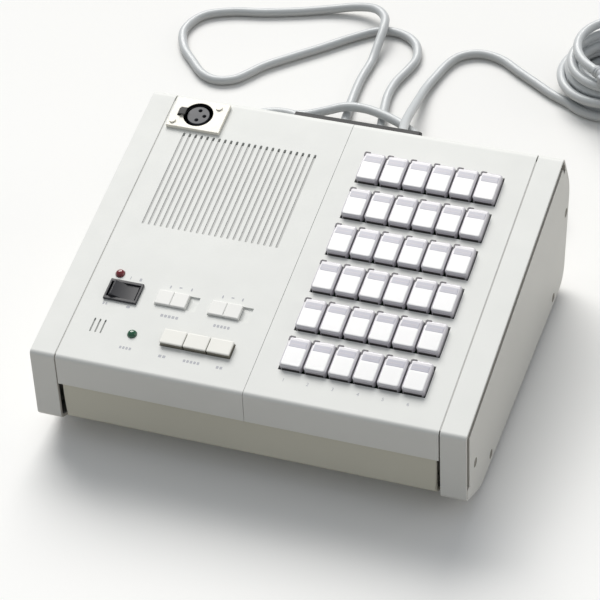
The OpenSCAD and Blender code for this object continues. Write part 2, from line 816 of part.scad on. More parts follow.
// Coils: middle, layers, turns in each layer, and the angle of the start
coil_at = [[120, 298], [-85, 147], [78, 146]];
coil_layers = [4, 4, 2];
coil_turns = [2, 1.5, 2];
coil_start = [236, 172, 250];
coil_mid_r = 5 * cord_d;
coil_step = cord_d + 0.6;
loop_rings = 24;
plug_size = [30, 15, 9];
boot_l = 9;
tail_turns = 0.75;
tail_in = 13;
tail_lift = cord_r + plug_size[2] / 2 + 0.4;

function ramp(u) = let (v = min(max(u, 0), 1)) v * v * (3 - 2 * v);
function level(u) = min(max(u, 0), 1);

// A coil spirals in and out by turns, climbing a layer in the half turn where
// it reverses; its tail rises on to the top and turns inwards, to the plug
function coil_r(k, t) = let (
    n = coil_turns[k],
    layer = min(floor(t / n), coil_layers[k] - 1),
    along = t - layer * n,
    tail = (t - coil_layers[k] * n + tail_turns) / tail_turns)
    coil_mid_r + (layer % 2 == 0 ? n / 2 - along : along - n / 2) * coil_step
        - tail_in * ramp(tail / 0.7 - 0.43);
function coil_z(k, t) = let (
    n = coil_turns[k],
    climbs = [for (b = [1:coil_layers[k] - 1]) level((t - b * n) * 2 + 0.5)],
    tail = (t - coil_layers[k] * n + tail_turns) / tail_turns)
    flat + coil_step * (climbs * [for (b = climbs) 1]) + tail_lift * ramp(tail / 0.5);
function coil_point(k, t) = let (a = coil_start[k] + 360 * t, r = coil_r(k, t))
    [coil_at[k][0] + r * cos(a), coil_at[k][1] + r * sin(a), coil_z(k, t)];
function heading(a) = [-sin(a), cos(a), 0];
function coil_lead(k) = coil_point(k, 0) - cord_d * heading(coil_start[k]);
function coil_end(k) = let (n = coil_turns[k] * coil_layers[k])
    coil_point(k, n) + cord_d * heading(coil_start[k] + 360 * n);
function coil_path(k) = let (n = coil_turns[k] * coil_layers[k])
    [coil_lead(k), for (i = [0:n * loop_rings]) coil_point(k, i / loop_rings), coil_end(k)];

// Least gap between a coil's turns, from points at least half a turn apart
function coil_gap(p) = min([for (i = [0:len(p) - 1]) for (j = [i + loop_rings / 2:len(p) - 1])
    norm(p[i] - p[j])]) - cord_d;

function cord_path(k) = let (start = gland_at + [grommet_of[k] * grommet_pitch, 0, 0])
    [start, start + [0, 14, 0], each routes[k], coil_lead(k)];

// A tube of flat sides along a path
module tube(path, r, sides) {
    n = len(path);
    rings = [for (i = [0:n - 1]) let (
        run = unit(path[min(i + 1, n - 1)] - path[max(i - 1, 0)]),
        side = unit(cross(run, [0, 0, 1])),
        up = cross(side, run))
        for (j = [0:sides - 1]) let (a = 360 * (j + 0.5) / sides)
            path[i] + r * (cos(a) * side + sin(a) * up)];
    walls = [for (i = [0:n - 2], j = [0:sides - 1]) let (
        a = i * sides + j,
        b = i * sides + (j + 1) % sides)
        each [[a, a + sides, b], [b, a + sides, b + sides]]];
    first = [for (j = [1:sides - 2]) [0, j, j + 1]];
    last = [for (j = [1:sides - 2]) [(n - 1) * sides, (n - 1) * sides + j + 1, (n - 1) * sides + j]];
    polyhedron(rings, concat(walls, first, last));
}

module cords() {
    color(cable_grey) for (k = [0:2]) tube(cord_path(k), cord_r, 8);
}

module cord_coils() {
    color(cable_grey) for (k = [0:2]) {
        echo(str("coil ", k + 1, ": least gap ", coil_gap(coil_path(k))));
        tube(coil_path(k), cord_r, 6);
    }
}

module cord_plugs() {
    color(cable_grey) for (k = [0:2])
        translate(coil_end(k)) rotate(coil_start[k] + 360 * coil_turns[k] * coil_layers[k] + 90) {
            rotate([0, 90, 0]) cylinder(r = cord_r + 1, h = boot_l);
            translate([boot_l, -plug_size[1] / 2, -plug_size[2] / 2]) cube(plug_size);
        }
}

base_tray();
top_panel_left();
top_panel_right();
mirror([1, 0, 0]) end_cap();  // end_cap_left
end_cap();  // end_cap_right
side_plates();
rubber_feet();
case_screws();
speaker();
mic_socket();
mic_latch();
indicator_lamps();
rocker_frame();
power_rocker();
level_slider(0);  // level_slider_1
level_slider(1);  // level_slider_2
talk_key(0);  // talk_key_1
talk_key(1);  // talk_key_2
talk_key(2);  // talk_key_3
circuit_boards();
terminal_cover();
cords();
cord_coils();
cord_plugs();
for (j = [1:key_rows], i = [1:key_cols])
    station_key(i - 1, j - 1);
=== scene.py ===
import json
import math

import bmesh
import bpy
import numpy as np
from mathutils import Matrix

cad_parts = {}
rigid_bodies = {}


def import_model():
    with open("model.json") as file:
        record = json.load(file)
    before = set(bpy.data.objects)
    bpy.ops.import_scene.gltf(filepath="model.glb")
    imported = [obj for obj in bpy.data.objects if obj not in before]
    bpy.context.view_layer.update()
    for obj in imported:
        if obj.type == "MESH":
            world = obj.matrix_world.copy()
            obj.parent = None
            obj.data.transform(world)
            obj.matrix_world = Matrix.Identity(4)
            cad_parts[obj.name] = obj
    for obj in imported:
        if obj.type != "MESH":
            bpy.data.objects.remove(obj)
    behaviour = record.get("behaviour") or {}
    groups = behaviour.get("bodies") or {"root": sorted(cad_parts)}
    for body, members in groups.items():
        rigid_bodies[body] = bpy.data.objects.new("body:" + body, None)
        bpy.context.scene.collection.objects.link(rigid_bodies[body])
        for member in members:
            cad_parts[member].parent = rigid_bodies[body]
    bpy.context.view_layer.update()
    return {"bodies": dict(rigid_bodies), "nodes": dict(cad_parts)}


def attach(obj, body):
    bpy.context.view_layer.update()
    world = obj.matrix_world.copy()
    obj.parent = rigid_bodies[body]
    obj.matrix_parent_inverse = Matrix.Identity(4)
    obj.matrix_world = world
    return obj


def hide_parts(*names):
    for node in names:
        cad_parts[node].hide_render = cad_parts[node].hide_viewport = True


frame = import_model()
nodes = frame["nodes"]
mm = 0.001
print("frame loaded")

# Camera: 153 mm lens from the front right, a little tilted, as the photograph
view = {
    "place": (447.45, -1072.43, 1118.41),
    "right": (0.94157707, 0.32956214, -0.06943638),
    "up": (-0.17752585, 0.66084371, 0.72922573),
    "back": (0.28621179, -0.67429548, 0.68074109),
    "lens": 153.24,
}
cameraData = bpy.data.cameras.new("camera")
cameraData.lens = view["lens"]
cameraData.sensor_width = 36
cameraData.clip_end = 20
camera = bpy.data.objects.new("camera", cameraData)
bpy.context.scene.collection.objects.link(camera)
camera.matrix_world = Matrix([
    [view["right"][i], view["up"][i], view["back"][i], view["place"][i] * mm] for i in range(3)
] + [[0, 0, 0, 1]])
bpy.context.scene.camera = camera
bpy.context.scene.view_settings.view_transform = "Standard"
print("camera set")

# The console's top: its slope, its front edge and its widths
console = {
    "slope": math.radians(9),
    "frontY": -117.54,
    "edgeZ": 69.0,
    "halfWidth": 136.0,
}


def onPanel(x, s, n):
    # a point of the sloping top: x across, s up the slope, n out of it, so
    # y = front + s cos a - n sin a and z = edge + s sin a + n cos a
    x, s, n = np.broadcast_arrays(*[np.asarray(v, float) for v in (x, s, n)])
    a = console["slope"]
    y = console["frontY"] + s * np.cos(a) - n * np.sin(a)
    z = console["edgeZ"] + s * np.sin(a) + n * np.cos(a)
    return np.stack([x, y, z], -1) * mm


def ringFaces(count, around):
    # quads between neighbouring closed rings: corner j of ring i, then j + 1,
    # then the same two of ring i + 1
    i = np.arange(count - 1)[:, None] * around
    j = np.arange(around)[None, :]
    k = (j + 1) % around
    return np.stack([i + j, i + k, i + around + k, i + around + j], -1).reshape(-1, 4)


def closedShell(rings, material):
    # rings is (count, around, 3); each end gets a ring a little inside its last
    # one, q + 0.06 (mean - q), and a fan from the mean closes it
    inner = [q + 0.06 * (q.mean(1, keepdims=True) - q) for q in (rings[:1], rings[-1:])]
    rings = np.concatenate([inner[0], rings, inner[1]])
    count, around = rings.shape[:2]
    points = np.concatenate([rings.reshape(-1, 3), rings[:1].mean(1), rings[-1:].mean(1)])
    j = np.arange(around)
    k = (j + 1) % around
    last = (count - 1) * around
    first = np.stack([k, j, np.full(around, count * around)], -1)
    end = np.stack([last + j, last + k, np.full(around, count * around + 1)], -1)
    quads = ringFaces(count, around)
    return outward(points, [quads, np.concatenate([first, end])]) + (material,)


def outward(points, faces):
    # six times the volume is the sum of a . (b x c) over the triangles, counted
    # from one corner; below zero, every face is turned over
    volume = 0.0
    for f in faces:
        for k in range(1, f.shape[1] - 1):
            a, b, c = points[f[:, 0]], points[f[:, k]], points[f[:, k + 1]]
            volume += np.einsum("ij,ij->", a - points[0], np.cross(b - points[0], c - points[0]))
    if volume < 0:
        faces = [f[:, ::-1] for f in faces]
    return points, faces


def addPiece(name, shells, body, replaced=(), sharp=32):
    points, faces, kinds, materials, start = [], [], [], [], 0
    for shellPoints, shellFaces, material in shells:
        if material not in materials:
            materials.append(material)
        points.append(shellPoints)
        for f in shellFaces:
            faces.extend((f + start).tolist())
            kinds.extend([materials.index(material)] * len(f))
        start += len(shellPoints)
    mesh = bpy.data.meshes.new(name)
    mesh.from_pydata(np.concatenate(points).tolist(), [], faces)
    for material in materials:
        mesh.materials.append(material)
    mesh.polygons.foreach_set("material_index", kinds)
    mesh.polygons.foreach_set("use_smooth", [True] * len(kinds))
    mesh.update()
    mesh.set_sharp_from_angle(angle=math.radians(sharp))
    piece = bpy.data.objects.new(name, mesh)
    bpy.context.scene.collection.objects.link(piece)
    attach(piece, body)
    if replaced:
        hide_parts(*replaced)
    return piece


def roundedRectangle(width, depth, radius, steps=6):
    # corner centre + radius (cos t, sin t), t a quarter turn for each corner
    radius = max(min(radius, width / 2 - 0.01, depth / 2 - 0.01), 0.02)
    t = (np.arange(4)[:, None] + np.linspace(0, 1, steps)[None, :]) * np.pi / 2
    sx = np.array([1, -1, -1, 1])[:, None]
    sy = np.array([1, 1, -1, -1])[:, None]
    x = sx * (width / 2 - radius) + radius * np.cos(t)
    y = sy * (depth / 2 - radius) + radius * np.sin(t)
    return np.stack([x, y], -1).reshape(-1, 2)


def padRings(width, depth, radius, levels, steps=6):
    # levels are (height, inset): each ring is the rounded rectangle drawn in
    rings = [
        np.column_stack([roundedRectangle(width - 2 * d, depth - 2 * d, radius - d, steps),
                         np.full(4 * steps, h)]) for h, d in levels]
    return np.array(rings)


def pad(x, s, width, depth, radius, levels, material, steps=6):
    # a rounded pad whose middle stands at x, s of the panel
    r = padRings(width, depth, radius, levels, steps)
    return closedShell(onPanel(x + r[..., 0], s + r[..., 1], r[..., 2]), material)


def turnedShell(x, s, profile, material, around=48):
    # profile (radius, height) turned about the panel's normal at x, s
    t = np.linspace(0, 2 * np.pi, around, endpoint=False)
    p = np.array(profile, float)
    rings = onPanel(x + p[:, 0, None] * np.cos(t), s + p[:, 0, None] * np.sin(t), p[:, 1, None] + 0 * t)
    return closedShell(rings, material)


def panelPlace(points):
    # back from metres to x, s, n: s = y' cos a + z' sin a, n = z' cos a - y' sin a
    a = console["slope"]
    y = points[:, 1] / mm - console["frontY"]
    z = points[:, 2] / mm - console["edgeZ"]
    return points[:, 0] / mm, y * np.cos(a) + z * np.sin(a), z * np.cos(a) - y * np.sin(a)


def dressed(node, name, materials, soften=0.35, pick=None):
    # a merged copy of a solid: flat faces joined and edges rounded, where soften
    # is above 0, and a finish for each face by where its middle lies
    source = nodes[node]
    mesh = bpy.data.meshes.new(name)
    work = bmesh.new()
    work.from_mesh(source.data)
    bmesh.ops.remove_doubles(work, verts=work.verts, dist=2e-6)
    bmesh.ops.dissolve_degenerate(work, dist=1e-6, edges=work.edges)
    if soften:
        bmesh.ops.dissolve_limit(work, angle_limit=math.radians(0.4), verts=work.verts, edges=work.edges)
    work.to_mesh(mesh)
    work.free()
    for material in materials:
        mesh.materials.append(material)
    if pick:
        count = len(mesh.polygons)
        middles, normals = np.zeros(3 * count), np.zeros(3 * count)
        mesh.polygons.foreach_get("center", middles)
        mesh.polygons.foreach_get("normal", normals)
        kinds = pick(*panelPlace(middles.reshape(-1, 3)), normals.reshape(-1, 3))
        mesh.polygons.foreach_set("material_index", kinds.astype(int).tolist())
    mesh.polygons.foreach_set("use_smooth", [bool(soften)] * len(mesh.polygons))
    mesh.update()
    piece = bpy.data.objects.new(name, mesh)
    bpy.context.scene.collection.objects.link(piece)
    if soften:
        rounding = piece.modifiers.new("rounding", "BEVEL")
        rounding.width = soften * mm
        rounding.segments = 2
        rounding.limit_method = "ANGLE"
        rounding.angle_limit = math.radians(40)
        rounding.use_clamp_overlap = False
        evening = piece.modifiers.new("evening", "WEIGHTED_NORMAL")
        evening.weight = 100
    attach(piece, bodyOf(node))
    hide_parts(node)
    return piece


def bodyOf(node):
    return node if node in frame["bodies"] else "case"


def surface(name, colour, roughness, grain=0.0, grainSize=0.6, mottle=0.03, coat=0.0, metallic=0.0,
            subsurface=0.0, gloss=0.5):
    # moulded surface: fine bump of grainSize mm, a slow drift of tone by mottle
    # each way, and rubbed patches where the roughness falls
    material = bpy.data.materials.new(name)
    material.use_nodes = True
    tree = material.node_tree
    link = tree.links.new
    shader = tree.nodes["Principled BSDF"]
    shader.inputs["Metallic"].default_value = metallic
    shader.inputs["Coat Weight"].default_value = coat
    shader.inputs["Coat Roughness"].default_value = 0.12
    shader.inputs["Specular IOR Level"].default_value = gloss
    shader.inputs["Subsurface Weight"].default_value = subsurface
    shader.inputs["Subsurface Radius"].default_value = (0.002, 0.002, 0.002)
    place = tree.nodes.new("ShaderNodeTexCoord")

    def noise(scale, detail):
        node = tree.nodes.new("ShaderNodeTexNoise")
        node.inputs["Scale"].default_value = scale
        node.inputs["Detail"].default_value = detail
        link(place.outputs["Object"], node.inputs["Vector"])
        return node.outputs["Fac"]

    drift = tree.nodes.new("ShaderNodeValToRGB")
    dark = [c * (1 - mottle) for c in colour]
    light = [min(1, c * (1 + mottle)) for c in colour]
    drift.color_ramp.elements[0].position = 0.35
    drift.color_ramp.elements[1].position = 0.65
    drift.color_ramp.elements[0].color = (*dark, 1)
    drift.color_ramp.elements[1].color = (*light, 1)
    link(noise(14, 3), drift.inputs["Fac"])
    link(drift.outputs["Color"], shader.inputs["Base Color"])
    rub = tree.nodes.new("ShaderNodeMapRange")
    rub.inputs["To Min"].default_value = max(0.02, roughness - 0.07)
    rub.inputs["To Max"].default_value = min(1, roughness + 0.07)
    link(noise(60, 2), rub.inputs["Value"])
    link(rub.outputs["Result"], shader.inputs["Roughness"])
    if grain:
        bump = tree.nodes.new("ShaderNodeBump")
        bump.inputs["Strength"].default_value = grain
        bump.inputs["Distance"].default_value = 0.0001
        link(noise(1 / (grainSize * mm), 2), bump.inputs["Height"])
        link(bump.outputs["Normal"], shader.inputs["Normal"])
    return material


shellWhite = surface("shellWhite", (0.80, 0.81, 0.79), 0.48, grain=0.25, grainSize=0.7, mottle=0.012)
trayGrey = surface("trayGrey", (0.68, 0.67, 0.58), 0.55, grain=0.3, grainSize=0.8, mottle=0.02)
labelWhite = surface(
    "labelWhite", (0.90, 0.90, 0.91), 0.35, grain=0.05, grainSize=0.3, mottle=0.01, coat=0.3)
keyLens = surface("keyLens", (0.69, 0.675, 0.715), 0.25, mottle=0.02, coat=0.3, subsurface=0.1)
keyWindow = surface("keyWindow", (0.45, 0.445, 0.52), 0.3, mottle=0.05, coat=0.3)
# the keys' sides, a darker copy of the lens colour as painted shade, and the fine line across each window
keySideShadeAndLine = surface("keySideShadeAndLine", (0.52, 0.50, 0.54), 0.3, mottle=0.04, coat=0.2)
# a dark mark at a key's rear left corner: painted shade of the gap there
keyCornerShade = surface("keyCornerShade", (0.13, 0.12, 0.14), 0.4, mottle=0.04)
# a near-black strip low on a key's front: painted shade under its front edge
keyFrontShade = surface("keyFrontShade", (0.06, 0.055, 0.055), 0.45, grain=0.1, mottle=0.04)
talkCream = surface("talkCream", (0.84, 0.835, 0.79), 0.4, grain=0.15, mottle=0.01)
# the dark lower part of a talk key: painted shade under its cap
talkSkirtShade = surface("talkSkirtShade", (0.22, 0.205, 0.165), 0.5, grain=0.1, mottle=0.04)
sliderWhite = surface("sliderWhite", (0.82, 0.82, 0.80), 0.38, grain=0.12, mottle=0.01)
socketCream = surface("socketCream", (0.86, 0.83, 0.74), 0.3, grain=0.08, mottle=0.02, coat=0.3)
socketBlack = surface("socketBlack", (0.012, 0.012, 0.013), 0.28, mottle=0.1, coat=0.3)
socketGrey = surface("socketGrey", (0.085, 0.088, 0.098), 0.5, grain=0.15, mottle=0.05)
glossBlack = surface("glossBlack", (0.040, 0.040, 0.046), 0.42, grain=0.1, mottle=0.08, gloss=0.4)
matteBlack = surface("matteBlack", (0.02, 0.02, 0.02), 0.6, grain=0.3, mottle=0.1)
coverBlack = surface("coverBlack", (0.020, 0.020, 0.022), 0.62, grain=0.4, grainSize=0.8, mottle=0.06)
lampRed = surface("lampRed", (0.19, 0.012, 0.018), 0.12, mottle=0.05, coat=0.9, subsurface=0.1)
lampGreen = surface("lampGreen", (0.010, 0.10, 0.045), 0.12, mottle=0.05, coat=0.9, subsurface=0.1)
screwPale = surface("screwPale", (0.70, 0.68, 0.62), 0.45, grain=0.15, mottle=0.05, metallic=0.2)
screwSteel = surface("screwSteel", (0.30, 0.285, 0.255), 0.6, grain=0.2, mottle=0.08, metallic=0.3)
seamGrey = surface("seamGrey", (0.66, 0.66, 0.64), 0.7, mottle=0.04)
slotFelt = surface("slotFelt", (0.62, 0.62, 0.61), 0.9, grain=0.6, grainSize=0.4, mottle=0.05)
screenGrey = surface("screenGrey", (0.50, 0.50, 0.49), 0.9, grain=0.6, grainSize=0.5, mottle=0.05)
# the side plate's channel in a darker grey than the shell: painted shade
grooveShade = surface("grooveShade", (0.62, 0.60, 0.56), 0.6, grain=0.2, mottle=0.05)
cableGrey = surface(
    "cableGrey", (0.60, 0.625, 0.64), 0.36, grain=0.12, grainSize=1.5, mottle=0.03, coat=0.15)
plugGrey = surface("plugGrey", (0.50, 0.52, 0.54), 0.45, grain=0.25, mottle=0.03)
footRubber = surface("footRubber", (0.02, 0.02, 0.02), 0.8, grain=0.4, mottle=0.1)
boardGreen = surface("boardGreen", (0.03, 0.13, 0.06), 0.5, mottle=0.1)
inkGrey = surface("inkGrey", (0.46, 0.47, 0.51), 0.5, mottle=0.03)
print("materials made")


cables = {
    "diameter": 6.5,
    "grommetPitch": 24.0,
    "glandX": 6.0,
    "glandY": 121.289,
    "glandZ": 40.0,
    "order": (0, 1, -1),
    "coilAt": ((120, 298), (-85, 147), (78, 146)),
    "layers": (4, 4, 2),
    "turns": (2, 1.5, 2),
    "start": (236, 172, 250),
    "gap": 0.6,
    "tailTurns": 0.75,
    "tailIn": 13.0,
    "plug": (30.0, 15.0, 9.0),
    "boot": 9.0,
    "ribs": 4,
    "ribPitch": 3.0,
    "tongue": 8.0,
    "straight": 14.0,
}
flat = cables["diameter"] / 2
cableRoutes = (
    ((6, 150, 37), (4, 167, 32), (0, 185, 25), (-4, 203, 18.5), (-6, 221, 13), (-7, 240, 8),
     (-7, 259, 4.5), (-4, 277, flat), (-1, 289, flat), (4, 299, flat), (13, 305.5, flat),
     (24, 307, flat), (37, 303, flat), (51, 293.5, flat), (65, 284.5, flat), (79, 275.5, flat)),
    ((29, 150, 36), (25, 167, 26), (15, 186, 15.5), (3, 201, 10.8), (-10, 210, 10.4), (-24, 216, 10.4),
     (-38, 219.5, 10.4), (-52, 218.5, 10.4), (-65, 214.5, 7.6), (-78, 211, 4.3), (-91, 208, flat),
     (-104, 202, flat), (-115, 191, flat), (-121, 175, flat)),
    ((-18, 150, 36), (-19, 166, 26), (-21, 183, 13.5), (-23, 201, 5), (-26, 217, flat), (-29, 232, flat),
     (-31, 247, flat), (-30, 262, flat), (-26, 277, flat), (-24, 290, flat), (-28, 304, flat),
     (-37, 313, flat), (-50, 316.5, flat), (-63, 313, flat), (-78, 301, flat), (-95, 285, flat),
     (-112, 270, flat), (-127, 256, flat), (-135, 245, flat), (-143, 236, flat), (-155, 232.5, flat),
     (-167, 237, flat), (-179, 249, flat), (-191, 263, flat), (-198, 282, flat), (-191, 301, flat),
     (-172, 311, flat), (-148, 316, flat), (-124, 323, flat), (-102, 330.5, 4), (-83, 334.5, 6.5),
     (-68, 332, 9.4), (-58, 323, 10.4), (-54.5, 310, 10.4), (-54, 295, 7), (-54, 279, flat),
     (-55, 258, flat), (-54, 238, flat), (-52, 219, flat), (-49, 200, flat), (-42, 181, flat),
     (-29, 164, flat), (-11, 149, flat), (9, 137, flat), (29, 126, flat), (44, 117, flat)),
)


def rampUp(u):
    # 3 v^2 - 2 v^3, with v kept from 0 to 1
    v = np.clip(u, 0, 1)
    return v * v * (3 - 2 * v)


def coilPoints(k, perTurn=40):
    # angle start + 360 t; the radius goes in and out a turn's width a turn,
    # and the height climbs a layer in the half turn where it reverses
    turns, layers, step = cables["turns"][k], cables["layers"][k], cables["diameter"] + cables["gap"]
    total = turns * layers
    t = np.linspace(0, total, int(total * perTurn) + 1)
    layer = np.minimum(np.floor(t / turns + 1e-9), layers - 1)
    along = t - layer * turns
    tail = (t - total + cables["tailTurns"]) / cables["tailTurns"]
    radius = 5 * cables["diameter"] + np.where(layer % 2 == 0, turns / 2 - along, along - turns / 2) * step
    radius -= cables["tailIn"] * rampUp(tail / 0.7 - 0.43)
    height = flat + step * sum(np.clip((t - b * turns) * 2 + 0.5, 0, 1) for b in range(1, layers))
    height += (flat + cables["plug"][2] / 2 + 0.4) * rampUp(tail / 0.5)
    angle = np.radians(cables["start"][k]) + 2 * np.pi * t
    x = cables["coilAt"][k][0] + radius * np.cos(angle)
    y = cables["coilAt"][k][1] + radius * np.sin(angle)
    points = np.column_stack([x, y, height])
    heading = np.array([-np.sin(angle), np.cos(angle), 0 * angle]).T
    lead = points[0] - cables["diameter"] * heading[0]
    end = points[-1] + cables["diameter"] * heading[-1]
    return np.vstack([lead, points, end]), heading[-1]


def smoothLine(points, spacing=1.6):
    # Catmull-Rom: on each span 0.5 (2 b + (c - a) u + (2 a - 5 b + 4 c - d) u^2
    # + (3 b - a - 3 c + d) u^3), then even steps along its length
    p = np.vstack([2 * points[0] - points[1], points, 2 * points[-1] - points[-2]])
    a, b, c, d = p[:-3, None], p[1:-2, None], p[2:-1, None], p[3:, None]
    u = np.linspace(0, 1, 12, endpoint=False)[None, :, None]
    line = 0.5 * (2 * b + (c - a) * u + (2 * a - 5 * b + 4 * c - d) * u**2 + (3 * b - a - 3 * c + d) * u**3)
    line = np.vstack([line.reshape(-1, 3), points[-1]])
    length = np.concatenate([[0], np.cumsum(np.linalg.norm(np.diff(line, axis=0), axis=1))])
    even = np.linspace(0, length[-1], int(length[-1] / spacing) + 1)
    return np.column_stack([np.interp(even, length, line[:, i]) for i in range(3)]), length[-1]


def tubeRings(line, radius, around=20):
    # ring = point + r (cos t side + sin t up), side square to the run and level
    run = np.gradient(line, axis=0)
    run /= np.linalg.norm(run, axis=1)[:, None]
    side = np.cross(run, [0, 0, 1.0])
    side /= np.linalg.norm(side, axis=1)[:, None]
    up = np.cross(side, run)
    t = np.linspace(0, 2 * np.pi, around, endpoint=False)
    cosine, sine = np.cos(t)[None, :, None], np.sin(t)[None, :, None]
    return line[:, None] + radius * (cosine * side[:, None] + sine * up[:, None])


def blockAlong(start, heading, levels, radius, material):
    # levels (distance, width, height): rounded rectangles along a level heading
    side = np.array([heading[1], -heading[0], 0])
    rings = []
    for distance, width, height in levels:
        r = roundedRectangle(width, height, radius)
        rings.append(start + distance * heading + r[:, :1] * side + r[:, 1:] * np.array([0, 0, 1.0]))
    return closedShell(np.array(rings) * mm, material)


def plugShells(start, heading):
    # moulded boot, ribbed grip and a dark tongue; each level
    # is (distance, width, height)
    long, wide, tall = cables["plug"]
    b = cables["boot"]
    end = b + long
    shoulder = end - cables["tongue"]
    rings = ((0, 0.6), (0.5, 1.4), (2, 1.9), (3, 1.2), (4, 1.9), (5, 1.2), (6, 1.9), (b, 2))
    boot = [(at, cables["diameter"] + wider, cables["diameter"] + wider) for at, wider in rings]
    grip = [(b, wide - 3, tall - 2), (b + 1, wide - 0.6, tall - 0.5), (b + 3, wide, tall)]
    for k in range(cables["ribs"]):
        at = b + 5 + cables["ribPitch"] * k
        grip += [(at, wide, tall), (at + 0.4, wide - 1, tall),
                 (at + 1.4, wide - 1, tall), (at + 1.8, wide, tall)]
    grip += [(shoulder - 1, wide, tall), (shoulder - 0.4, wide - 0.8, tall - 0.6),
             (shoulder, wide - 2, tall - 2)]
    tongue = [(shoulder - 0.2, wide - 3, tall - 3), (end - 0.4, wide - 3, tall - 3), (end, wide - 4, tall - 4)]
    return [blockAlong(start, heading, boot, 3.6, plugGrey),
            blockAlong(start, heading, grip, 1.2, plugGrey),
            blockAlong(start, heading, tongue, 0.4, matteBlack)]


for k in range(3):
    glandX = cables["glandX"] + cables["order"][k] * cables["grommetPitch"]
    gland = np.array([glandX, cables["glandY"], cables["glandZ"]])
    coil, heading = coilPoints(k)
    line, length = smoothLine(np.vstack([gland, gland + [0, cables["straight"], 0], cableRoutes[k], coil]))
    line[:, 2] = np.maximum(line[:, 2], flat)
    tube = closedShell(tubeRings(line, flat) * mm, cableGrey)
    cable = addPiece(f"cable{k + 1}", [tube], "case", ("cords", "cord_coils"), sharp=60)
    plugParts = plugShells(coil[-1], heading)
    plug = addPiece(f"cablePlug{k + 1}", plugParts, "case", ("cord_plugs",))
    print("cable", k + 1, "length", round(length))


# floorNear and floorFar are the paper's tones at the two ends of floorSpan,
# paler in front as painted light that evens the floor's lighting from back to
# front, and lamps and spans are in metres
studio = {
    "floorReach": 6.0,
    "floorNear": (1.0, 1.0, 0.995),
    "floorFar": (0.92, 0.92, 0.912),
    "floorSpan": (-0.15, 0.35),
    "floorBounce": (0.45, 0.42, 0.375),
    "fill": 0.365,
    "fillColour": (0.92, 0.96, 1.0),
    "keyPlace": (-3.75, 6.9, 7.95),
    "keySize": (8.4, 6.3),
    "keyPower": 1240.0,
    "keyColour": (1.0, 0.98, 0.945),
    "sidePlace": (5.0, 1.0, 2.0),
    "sideSize": (3.0, 3.0),
    "sidePower": 30.0,
    "sideColour": (1.0, 0.93, 0.84),
}

floorMesh = bpy.data.meshes.new("floor")
reach = studio["floorReach"]
floorMesh.from_pydata(
    [(-reach, -reach, 0), (reach, -reach, 0), (reach, reach, 0), (-reach, reach, 0)], [], [(0, 1, 2, 3)])
floor = bpy.data.objects.new("floor", floorMesh)
bpy.context.scene.collection.objects.link(floor)


def floorPaper():
    # pale where the camera, a gloss or a clear surface looks at it, a little
    # paler in front than behind as painted light, and duller for the light that it throws back
    material = bpy.data.materials.new("floorPaper")
    material.use_nodes = True
    tree = material.node_tree
    path = tree.nodes.new("ShaderNodeLightPath")
    seen = None
    for ray in ("Is Camera Ray", "Is Glossy Ray", "Is Transmission Ray"):
        if seen is None:
            seen = path.outputs[ray]
            continue
        either = tree.nodes.new("ShaderNodeMath")
        either.operation = "MAXIMUM"
        tree.links.new(seen, either.inputs[0])
        tree.links.new(path.outputs[ray], either.inputs[1])
        seen = either.outputs["Value"]
    blend = tree.nodes.new("ShaderNodeMix")
    blend.data_type = "RGBA"
    blend.inputs["A"].default_value = (*studio["floorBounce"], 1)
    place = tree.nodes.new("ShaderNodeTexCoord")
    apart = tree.nodes.new("ShaderNodeSeparateXYZ")
    ahead = tree.nodes.new("ShaderNodeMapRange")
    ahead.inputs["From Min"].default_value = studio["floorSpan"][0]
    ahead.inputs["From Max"].default_value = studio["floorSpan"][1]
    seenTone = tree.nodes.new("ShaderNodeMix")
    seenTone.data_type = "RGBA"
    seenTone.inputs["A"].default_value = (*studio["floorNear"], 1)
    seenTone.inputs["B"].default_value = (*studio["floorFar"], 1)
    tree.links.new(place.outputs["Object"], apart.inputs["Vector"])
    tree.links.new(apart.outputs["Y"], ahead.inputs["Value"])
    tree.links.new(ahead.outputs["Result"], seenTone.inputs["Factor"])
    tree.links.new(seenTone.outputs["Result"], blend.inputs["B"])
    tree.links.new(seen, blend.inputs["Factor"])
    paper = tree.nodes["Principled BSDF"]
    paper.inputs["Roughness"].default_value = 0.9
    paper.inputs["Specular IOR Level"].default_value = 0.1
    tree.links.new(blend.outputs["Result"], paper.inputs["Base Color"])
    return material


floorMesh.materials.append(floorPaper())

world = bpy.data.worlds.new("studio")
bpy.context.scene.world = world
world.use_nodes = True
sky = world.node_tree.nodes["Background"]
sky.inputs["Color"].default_value = (*studio["fillColour"], 1)
sky.inputs["Strength"].default_value = studio["fill"]


def softLamp(name, place, size, power, colour):
    # an area lamp that faces the middle of the floor
    lamp = bpy.data.lights.new(name, "AREA")
    lamp.shape = "RECTANGLE"
    lamp.size, lamp.size_y = size
    lamp.energy = power
    lamp.color = colour
    piece = bpy.data.objects.new(name, lamp)
    bpy.context.scene.collection.objects.link(piece)
    back = np.array(place) / np.linalg.norm(place)
    side = np.cross([0, 0, 1.0], back)
    side /= np.linalg.norm(side)
    up = np.cross(back, side)
    rows = [[side[i], up[i], back[i], place[i]] for i in range(3)]
    piece.matrix_world = Matrix(rows + [[0, 0, 0, 1]])


softLamp("windowLight", studio["keyPlace"], studio["keySize"], studio["keyPower"], studio["keyColour"])
softLamp("sideLight", studio["sidePlace"], studio["sideSize"], studio["sidePower"], studio["sideColour"])
print("floor and light set")


stationKeys = {
    "rows": 6, "columns": 6, "firstX": 15.2, "firstS": 22.7, "pitch": 15.0, "rowPitch": 29.5,
    "width": 14.0, "depth": 22.0, "height": 4.3, "sunk": 1.5, "corner": 2.2, "sideTop": 3.3,
    "stripInset": 1.5, "stripTop": 1.35, "labelDepth": 13.4, "labelInset": 1.0, "labelFront": 0.7,
    "windowDepth": 4.6, "windowInset": 1.6, "windowGap": 0.2, "lineWidth": 0.45, "cornerShadeWidth": 0.95,
}


